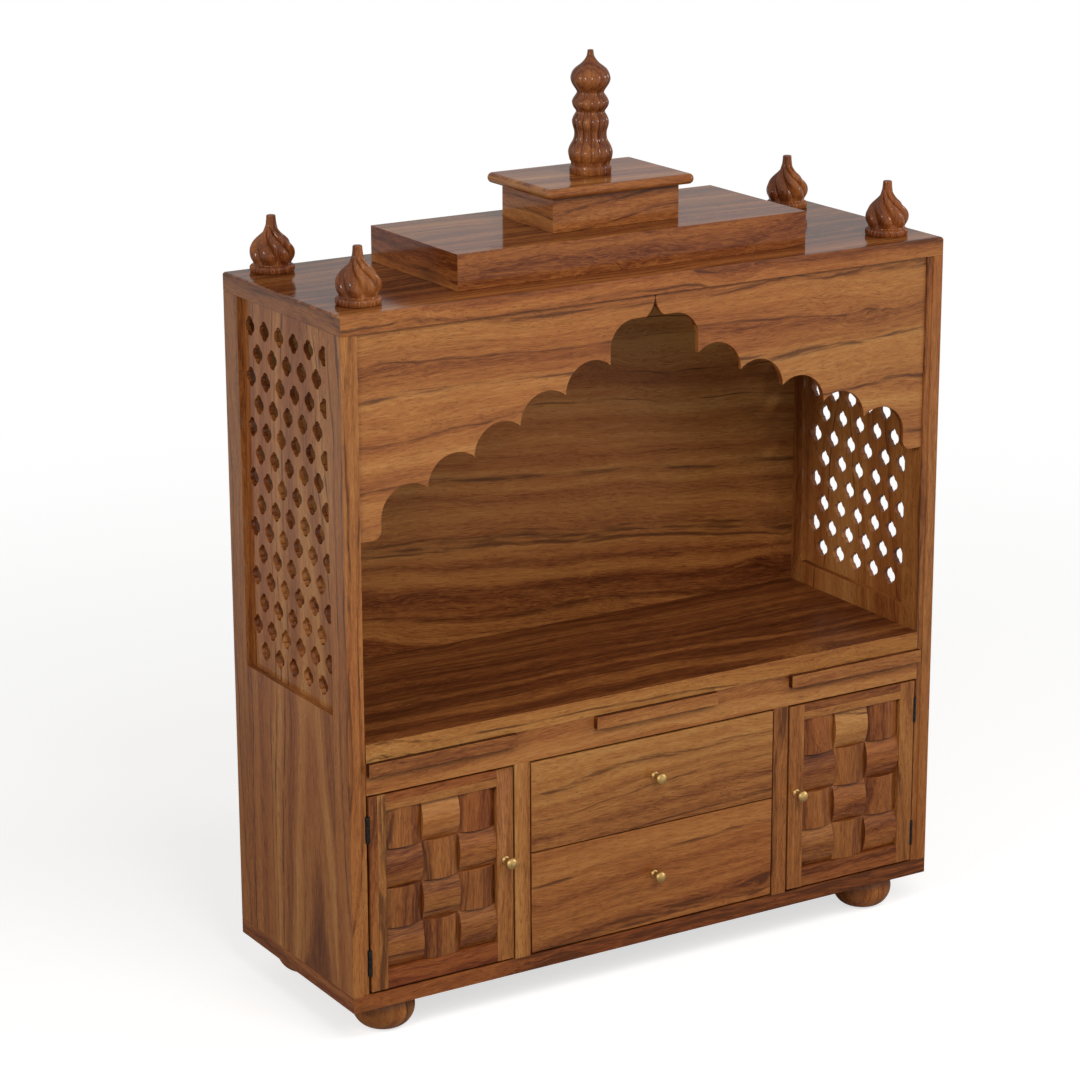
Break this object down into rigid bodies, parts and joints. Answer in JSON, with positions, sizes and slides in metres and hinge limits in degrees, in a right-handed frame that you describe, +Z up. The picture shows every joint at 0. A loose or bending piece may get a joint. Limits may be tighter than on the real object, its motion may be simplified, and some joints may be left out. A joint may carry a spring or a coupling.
{
  "type": "home temple cabinet",
  "caption": "Wooden home temple cabinet: altar niche behind a cusped arch, pierced side panels, stepped top with finials, woven-pattern doors, drawers and pull-out trays.",
  "frame": {"origin": "on the floor, under the middle of the overall box", "axes": "+Z up; the doors and the arch face -Y; +X to the right seen from the front"},
  "size_m": [0.914, 0.338, 1.2245],
  "materials": {
    "sheesham": "honey-brown sheesham with dark streaks under semi-gloss lacquer",
    "brass": "polished antique brass",
    "black_metal": "blackened steel"
  },
  "bodies": {
    "cabinet": {"bun_feet": "sheesham", "bottom_board": "sheesham", "top_board": "sheesham", "back_panel": "sheesham", "left_front_post": "sheesham", "right_front_post": "sheesham", "left_back_post": "sheesham", "right_back_post": "sheesham", "left_side_panel": "sheesham", "right_side_panel": "sheesham", "left_jali": "sheesham", "right_jali": "sheesham", "arch_panel": "sheesham", "shelf": "sheesham", "front_rail": "sheesham", "tray_deck": "sheesham", "tray_guides": "sheesham", "left_divider": "sheesham", "right_divider": "sheesham", "left_runners": "sheesham", "right_runners": "sheesham", "lower_tier": "sheesham", "upper_tier": "sheesham", "tier_cap": "sheesham", "centre_finial": "sheesham", "corner_finials": "sheesham", "hinge_leaves": "black_metal"},
    "left_door": {"left_door_frame": "sheesham", "left_door_weave": "sheesham", "left_door_knob": "brass", "left_door_leaves": "black_metal"},
    "right_door": {"right_door_frame": "sheesham", "right_door_weave": "sheesham", "right_door_knob": "brass", "right_door_leaves": "black_metal"},
    "upper_drawer": {"upper_drawer_front": "sheesham", "upper_drawer_box": "sheesham", "upper_drawer_knob": "brass"},
    "lower_drawer": {"lower_drawer_front": "sheesham", "lower_drawer_box": "sheesham", "lower_drawer_knob": "brass"},
    "left_pull_tray": {"left_tray": "sheesham"},
    "centre_pull_tray": {"centre_tray": "sheesham"},
    "right_pull_tray": {"right_tray": "sheesham"}
  },
  "joints": [
    {"name": "left_door_hinge", "type": "hinge", "parent": "cabinet", "child": "left_door", "pos_m": [-0.4315, -0.1452, 0.2], "axis": [0, 0, -1], "range_deg": [0, 110]},
    {"name": "right_door_hinge", "type": "hinge", "parent": "cabinet", "child": "right_door", "pos_m": [0.4315, -0.1452, 0.2], "axis": [0, 0, 1], "range_deg": [0, 110]},
    {"name": "upper_drawer_slide", "type": "slide", "parent": "cabinet", "child": "upper_drawer", "axis": [0, -1, 0], "range_m": [0, 0.2]},
    {"name": "lower_drawer_slide", "type": "slide", "parent": "cabinet", "child": "lower_drawer", "axis": [0, -1, 0], "range_m": [0, 0.2]},
    {"name": "left_tray_slide", "type": "slide", "parent": "cabinet", "child": "left_pull_tray", "axis": [0, -1, 0], "range_m": [0, 0.18]},
    {"name": "centre_tray_slide", "type": "slide", "parent": "cabinet", "child": "centre_pull_tray", "axis": [0, -1, 0], "range_m": [0, 0.18]},
    {"name": "right_tray_slide", "type": "slide", "parent": "cabinet", "child": "right_pull_tray", "axis": [0, -1, 0], "range_m": [0, 0.18]}
  ]
}
